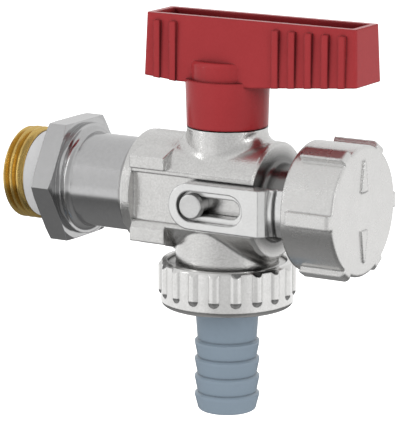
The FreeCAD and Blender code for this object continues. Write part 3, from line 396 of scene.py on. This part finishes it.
nodeFinish = {
    "valve_body": "blastedNickel", "cap": "nickelCap", "union_nut": "nickelNut",
    "tail_piece": "polishedChrome", "strap": "brightStrap", "strap_pin": "satinPin",
    "inlet_nipple": "turnedBrass", "stem": "turnedBrass", "inlet_seal_ring": "whiteSeal",
    "seat_inlet": "whiteSeal", "seat_outlet": "whiteSeal", "stem_thrust_washer": "whiteSeal",
    "ball": "polishedBall", "handle": "redMoulding", "hose_tail": "greyMoulding",
    "handle_screw": "platedSteel", "handle_washer": "platedSteel", "cap_circlip": "platedSteel",
    "tail_o_ring": "blackRubber", "stem_o_ring_lower": "blackRubber", "stem_o_ring_upper": "blackRubber",
    "cap_gasket": "blackRubber", "hose_gasket": "blackRubber",
}
for nodeName, finishName in nodeFinish.items():
    data = nodes[nodeName].data
    data.materials.clear()
    data.materials.append(finishes[finishName])
print("finishes on the frame's nodes")


# inlet nipple with its real thread, in millimetres
nippleShape = {
    "tip": -4.9, "root": 0.0, "radius": 10.4775, "pitch": 1.814, "depth": 1.1, "chamfer": 0.3,
    "undercut": 8.6, "undercutEnd": 5.9, "spigot": 8.0, "spigotEnd": 14.4, "bore": 6.0, "boreChamfer": 0.4,
    "rootFlat": 0.12, "flankShare": 0.72, "roundShare": 0.35,
    "stepsRound": 160, "alongStep": 0.07, "sharpAngle": 38}


def threadRadius(shape, along, turn):
    phase = (along / shape["pitch"] - turn) % 1.0
    flank = abs(phase - 0.5) * 2.0  # 1 at a crest, 0 at a root
    flank = min(max((flank - shape["rootFlat"]) / shape["flankShare"], 0.0), 1.0)
    rounded = flank * flank * (3 - 2 * flank)
    flank = rounded * shape["roundShare"] + flank * (1 - shape["roundShare"])
    limit = shape["radius"] - max(0.0, shape["chamfer"] - (along - shape["tip"]))
    return min(limit, shape["radius"] - shape["depth"] * (1 - flank))


def makeThreadedNipple(shape):
    steps = shape["stepsRound"]
    length = shape["root"] - shape["tip"]
    count = round(length / shape["alongStep"])
    rings = []
    for ring in range(count + 1):
        along = shape["tip"] + length * ring / count
        rings.append([(along, threadRadius(shape, along, step / steps)) for step in range(steps)])
    plain = (
        (shape["root"], shape["undercut"]), (shape["undercutEnd"], shape["undercut"]),
        (shape["undercutEnd"], shape["spigot"]), (shape["spigotEnd"], shape["spigot"]),
        (shape["spigotEnd"], shape["bore"]), (shape["tip"] + shape["boreChamfer"], shape["bore"]),
        (shape["tip"], shape["bore"] + shape["boreChamfer"]))
    rings += [[point] * steps for point in plain]
    verts = []
    for row in rings:
        for step, (along, radius) in enumerate(row):
            angle = 2 * math.pi * step / steps
            verts.append((along * mm, radius * math.cos(angle) * mm, radius * math.sin(angle) * mm))
    faces = []
    total = len(rings)
    for ring in range(total):
        nextRing = (ring + 1) % total
        for step in range(steps):
            nextStep = (step + 1) % steps
            faces.append((ring * steps + step, nextRing * steps + step,
                          nextRing * steps + nextStep, ring * steps + nextStep))
    mesh = bpy.data.meshes.new("inletNippleThread")
    mesh.from_pydata(verts, [], faces)
    mesh.update()
    piece = bpy.data.objects.new("inletNippleThread", mesh)
    bpy.context.scene.collection.objects.link(piece)
    mesh.shade_smooth()
    mesh.set_sharp_from_angle(angle=math.radians(shape["sharpAngle"]))
    return piece


nipple = makeThreadedNipple(nippleShape)
nipple.data.materials.append(finishes["turnedBrass"])
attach(nipple, "valve")
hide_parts("inlet_nipple")
print("threaded nipple made")


# floor, light and camera
room = {
    "floorZ": -0.085, "floorHalf": 4.0, "floorColour": (0.8, 0.8, 0.8), "floorRough": 0.9, "floorGlow": 0.6,
    "middle": (0.048, 0.0), "floorReach": 1.0,  # how far out the floor changes, as metal sees it
    "paintedFloorLightInMetal": (  # painted shadow near the object and painted glow farther out, as the metal sees the floor: share of that reach, level
        (0.0, 0.36), (0.08, 0.26), (0.14, 0.19), (0.18, 0.19), (0.225, 1.1), (0.6, 1.0), (1.0, 0.9)),
    "skyForShade": 1.0, "sky": ((-90, 0.3), (-4, 0.9), (30, 0.88), (90, 0.86)),  # degrees up, level
    "panelSide": (0.515, -0.857, 0.0), "panelEdge": 0.68, "panelMiddle": 0.95, "panelLevel": 0.74}


def darkPanel(tree, direction):  # a grey panel on one side of the room, for form in the metal
    flat = vectorNode(tree, "MULTIPLY", {0: direction, 1: (1.0, 1.0, 0.0)})["Vector"]
    unit = vectorNode(tree, "NORMALIZE", {0: flat})["Vector"]
    facing = vectorNode(tree, "DOT_PRODUCT", {0: unit, 1: room["panelSide"]})["Value"]
    level = addNode(tree, "ShaderNodeMapRange", inputs={
        "Value": facing, "From Min": room["panelEdge"], "From Max": room["panelMiddle"],
        "To Min": 1.0, "To Max": room["panelLevel"]})
    return level.outputs["Result"]


def seenInMetal(tree, ray):
    return mathNode(tree, "ADD", ray["Is Glossy Ray"], ray["Is Transmission Ray"], clamp=True)


def makeFloor():
    half = room["floorHalf"]
    mesh = bpy.data.meshes.new("studioFloor")
    corners = ((-half, -half), (half, -half), (half, half), (-half, half))
    mesh.from_pydata([(x, y, room["floorZ"]) for x, y in corners], [], [(0, 1, 2, 3)])
    floor = bpy.data.objects.new("studioFloor", mesh)
    bpy.context.scene.collection.objects.link(floor)
    material = bpy.data.materials.new("paleFloor")
    material.use_nodes = True
    tree = material.node_tree
    shader = tree.nodes["Principled BSDF"]
    shader.inputs["Roughness"].default_value = room["floorRough"]
    shader.inputs["Specular IOR Level"].default_value = 0.0
    shader.inputs["Base Color"].default_value = (*room["floorColour"], 1)
    plain = shader.outputs["BSDF"]
    ray = addNode(tree, "ShaderNodeLightPath").outputs
    glow = addNode(tree, "ShaderNodeEmission", inputs={"Color": (1, 1, 1), "Strength": room["floorGlow"]})
    # white to the camera, with the object's shadow kept
    seen = addNode(tree, "ShaderNodeAddShader", inputs={0: plain, 1: glow.outputs["Emission"]})
    pick = addNode(tree, "ShaderNodeMixShader", inputs={
        0: ray["Is Camera Ray"], 1: plain, 2: seen.outputs["Shader"]})
    place = addNode(tree, "ShaderNodeNewGeometry").outputs["Position"]
    centre = (*room["middle"], room["floorZ"])
    away = vectorNode(tree, "DISTANCE", {0: place, 1: centre})["Value"]
    share = mathNode(tree, "DIVIDE", away, room["floorReach"], clamp=True)
    # painted shadow on the floor near the object and painted glow farther out, seen only in the metal
    level = addRamp(tree, share, room["paintedFloorLightInMetal"])
    offset = vectorNode(tree, "SUBTRACT", {0: place, 1: centre})["Vector"]
    mirrored = addNode(tree, "ShaderNodeEmission", inputs={
        "Color": level, "Strength": darkPanel(tree, offset)})
    final = addNode(tree, "ShaderNodeMixShader", inputs={
        0: seenInMetal(tree, ray), 1: pick.outputs["Shader"], 2: mirrored.outputs["Emission"]})
    feed(tree, tree.nodes["Material Output"].inputs["Surface"], final.outputs["Shader"])
    mesh.materials.append(material)


def makeSky():
    world = bpy.data.worlds.new("softStudio")
    bpy.context.scene.world = world
    world.use_nodes = True
    tree = world.node_tree
    tree.nodes.clear()
    direction = addNode(tree, "ShaderNodeTexCoord").outputs["Generated"]
    height = addNode(tree, "ShaderNodeSeparateXYZ", inputs={"Vector": direction}).outputs["Z"]
    place = rangeNode(tree, height, -1.0, 1.0)
    stops = [(math.sin(math.radians(angle)) * 0.5 + 0.5, level) for angle, level in room["sky"]]
    glow = mixColour(tree, 1.0, addRamp(tree, place, stops), darkPanel(tree, direction), "MULTIPLY")
    ray = addNode(tree, "ShaderNodeLightPath").outputs
    shade = mixColour(tree, seenInMetal(tree, ray), (room["skyForShade"],) * 3, glow)
    seen = mixColour(tree, ray["Is Camera Ray"], shade, (1.0, 1.0, 1.0))
    light = addNode(tree, "ShaderNodeBackground", inputs={"Color": seen})
    addNode(tree, "ShaderNodeOutputWorld", inputs={"Surface": light.outputs["Background"]})


lampAim = (0.045, 0.0, 0.0)
lampSettings = {
    "keyBox": {"place": (-0.35, -0.95, 0.75), "width": 1.0, "height": 0.8, "power": 3.0},
    "sideBox": {"place": (1.05, -0.3, 0.45), "width": 0.8, "height": 0.8, "power": 2.0},
    "topBox": {"place": (0.05, 0.2, 1.1), "width": 1.0, "height": 1.0, "power": 2.0},
    "leftStrip": {"place": (-0.62, -0.6, 0.1), "width": 0.07, "height": 0.8, "power": 0.7, "mirrored": True},
    "rightStrip": {"place": (0.93, -0.2, 0.1), "width": 0.07, "height": 0.8, "power": 0.7, "mirrored": True}}


def makeLamp(name, setting):
    data = bpy.data.lights.new(name, "AREA")
    data.shape = "RECTANGLE"
    data.size = setting["width"]
    data.size_y = setting["height"]
    data.energy = setting["power"]
    lamp = bpy.data.objects.new(name, data)
    bpy.context.scene.collection.objects.link(lamp)
    lamp.location = setting["place"]
    aim = Vector(lampAim) - Vector(setting["place"])
    lamp.rotation_mode = "QUATERNION"
    lamp.rotation_quaternion = aim.to_track_quat("-Z", "Y")
    lamp.visible_glossy = setting.get("mirrored", False)  # metal shows the even room, not the boxes


shot = {"azimuth": 31.004, "elevation": 12.176, "distance": 0.65469, "aim": (0.040963, 0.0, -0.004432),
        "lens": 252.07, "sensor": 36.0, "clipStart": 0.01, "clipEnd": 20.0}


def makeCamera():
    azimuth = math.radians(shot["azimuth"])
    elevation = math.radians(shot["elevation"])
    back = Vector((math.sin(azimuth) * math.cos(elevation),
                   -math.cos(azimuth) * math.cos(elevation), math.sin(elevation)))
    data = bpy.data.cameras.new("photoCamera")
    data.lens = shot["lens"]
    data.sensor_width = shot["sensor"]
    data.sensor_fit = "AUTO"
    data.clip_start = shot["clipStart"]
    data.clip_end = shot["clipEnd"]
    camera = bpy.data.objects.new("photoCamera", data)
    bpy.context.scene.collection.objects.link(camera)
    camera.location = Vector(shot["aim"]) + back * shot["distance"]
    camera.rotation_mode = "QUATERNION"
    camera.rotation_quaternion = (-back).to_track_quat("-Z", "Y")
    bpy.context.scene.camera = camera


makeFloor()
makeSky()
for lampName, lampSetting in lampSettings.items():
    makeLamp(lampName, lampSetting)
makeCamera()
bpy.context.scene.view_settings.view_transform = "Standard"
print("floor, light and camera ready")
